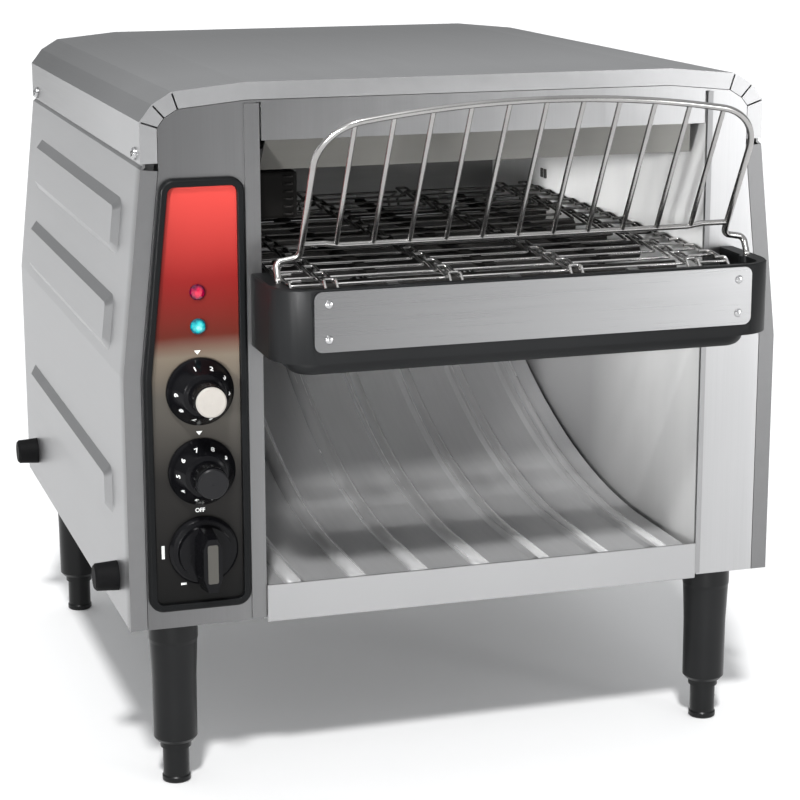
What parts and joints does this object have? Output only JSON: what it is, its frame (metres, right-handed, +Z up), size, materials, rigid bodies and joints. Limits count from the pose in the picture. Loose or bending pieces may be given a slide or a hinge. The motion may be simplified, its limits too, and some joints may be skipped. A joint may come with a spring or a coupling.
{
  "type": "conveyor toaster",
  "caption": "Counter-top conveyor toaster with a wire belt over a curved discharge chute, a feed tray with a wire rack, a side control strip and four legs.",
  "frame": {"origin": "on the bench, under the centre of the overall box", "axes": "+Z up; the feed tray, rack and controls face -Y; +X to the right seen from the front"},
  "size_m": [0.396, 0.4284, 0.3827],
  "materials": {
    "body_steel": "brushed",
    "inner_steel": "satin",
    "roof_steel": "brushed",
    "deflector_steel": "heat-stained",
    "chute_steel": "satin",
    "belt_wire": "bright drawn wire",
    "rack_wire": "polished wire",
    "machined_steel": "machined",
    "chain_steel": "oiled",
    "heater_sheath": "dull oxide",
    "tray_plastic": "fine texture",
    "bezel_plastic": "satin",
    "panel_print": "printed, red fading to black",
    "knob_plastic": "semi-gloss",
    "cap_cream": "satin",
    "cap_dark": "satin",
    "inlay_grey": "satin",
    "lamp_red": "moulded lens",
    "lamp_cyan": "moulded lens",
    "leg_paint": "semi-gloss black",
    "rubber_black": "matte",
    "black_plastic": "plain",
    "fastener_steel": "bright"
  },
  "bodies": {
    "housing": {"base_plate": "inner_steel", "belt_rails": "inner_steel", "control_bezel": "bezel_plastic", "control_panel": "panel_print", "cord_gland": "black_plastic", "cover_screws": "fastener_steel", "drive_chain": "chain_steel", "fan_frame": "black_plastic", "feed_tray": "tray_plastic", "front_fascia": "body_steel", "function_switch": "black_plastic", "gearmotor": "leg_paint", "hood_deflector": "deflector_steel", "left_inner_wall": "inner_steel", "left_side_panel": "body_steel", "leg_nuts": "fastener_steel", "legs": "leg_paint", "lower_heaters": "heater_sheath", "plate_rivets": "fastener_steel", "power_control": "black_plastic", "power_lamp": "lamp_red", "ready_lamp": "lamp_cyan", "rear_inner_wall": "inner_steel", "rear_panel": "body_steel", "rear_shaft_bushes": "machined_steel", "right_inner_wall": "inner_steel", "right_side_panel": "body_steel", "side_bumpers": "rubber_black", "speed_control": "black_plastic", "terminal_block": "black_plastic", "top_cover": "roof_steel", "tray_plate": "body_steel", "upper_heaters": "heater_sheath", "upper_reflector": "inner_steel", "wire_belt": "belt_wire"},
    "rear_drive": {"rear_shaft": "machined_steel", "rear_belt_wheels": "machined_steel", "driven_sprocket": "chain_steel"},
    "front_idler": {"front_shaft": "machined_steel", "front_belt_wheels": "machined_steel"},
    "motor_drive": {"motor_shaft": "machined_steel", "motor_sprocket": "chain_steel"},
    "cooling_fan": {"fan_impeller": "black_plastic"},
    "speed_dial": {"speed_knob": "knob_plastic", "speed_knob_cap": "cap_cream", "speed_spindle": "machined_steel"},
    "power_dial": {"power_knob": "knob_plastic", "power_knob_cap": "cap_dark", "power_spindle": "machined_steel"},
    "function_selector": {"function_knob": "knob_plastic", "function_knob_inlay": "inlay_grey", "function_spindle": "machined_steel"},
    "rack": {"bread_rack": "rack_wire"},
    "chute": {"discharge_chute": "chute_steel"},
    "front_left_levelling_foot": {"front_left_foot": "leg_paint"},
    "front_right_levelling_foot": {"front_right_foot": "leg_paint"},
    "rear_left_levelling_foot": {"rear_left_foot": "leg_paint"},
    "rear_right_levelling_foot": {"rear_right_foot": "leg_paint"}
  },
  "joints": [
    {"name": "belt_drive_spin", "type": "hinge", "parent": "housing", "child": "rear_drive", "pos_m": [0, 0.13221, 0.26695], "axis": [1, 0, 0], "continuous": true},
    {"name": "belt_idler_spin", "type": "hinge", "parent": "housing", "child": "front_idler", "pos_m": [0, -0.17279, 0.26695], "axis": [1, 0, 0], "continuous": true},
    {"name": "motor_shaft_spin", "type": "hinge", "parent": "housing", "child": "motor_drive", "pos_m": [-0.1482, 0.08021, 0.177], "axis": [1, 0, 0], "continuous": true},
    {"name": "fan_spin", "type": "hinge", "parent": "housing", "child": "cooling_fan", "pos_m": [-0.148, 0.19201, 0.183], "axis": [0, 1, 0], "continuous": true},
    {"name": "speed_dial_turn", "type": "hinge", "parent": "housing", "child": "speed_dial", "pos_m": [-0.1455, -0.14979, 0.2237], "axis": [0, -1, 0], "range_deg": [0, 264]},
    {"name": "power_dial_turn", "type": "hinge", "parent": "housing", "child": "power_dial", "pos_m": [-0.1455, -0.14979, 0.1806], "axis": [0, -1, 0], "range_deg": [-198, 66]},
    {"name": "function_selector_turn", "type": "hinge", "parent": "housing", "child": "function_selector", "pos_m": [-0.1455, -0.14979, 0.1377], "axis": [0, -1, 0], "range_deg": [-90, 180]},
    {"name": "rack_lift", "type": "slide", "parent": "housing", "child": "rack", "axis": [0, 0, 1], "range_m": [0, 0.06]},
    {"name": "chute_pull", "type": "slide", "parent": "housing", "child": "chute", "axis": [0, -1, 0], "range_m": [0, 0.27]},
    {"name": "front_left_foot_height", "type": "slide", "parent": "housing", "child": "front_left_levelling_foot", "axis": [0, 0, -1], "range_m": [0, 0.02]},
    {"name": "front_right_foot_height", "type": "slide", "parent": "housing", "child": "front_right_levelling_foot", "axis": [0, 0, -1], "range_m": [0, 0.02]},
    {"name": "rear_left_foot_height", "type": "slide", "parent": "housing", "child": "rear_left_levelling_foot", "axis": [0, 0, -1], "range_m": [0, 0.02]},
    {"name": "rear_right_foot_height", "type": "slide", "parent": "housing", "child": "rear_right_levelling_foot", "axis": [0, 0, -1], "range_m": [0, 0.02]}
  ],
  "couplings": [
    {"joint": "belt_idler_spin", "follows": "belt_drive_spin", "ratio": 1},
    {"joint": "motor_shaft_spin", "follows": "belt_drive_spin", "ratio": 1.5}
  ]
}
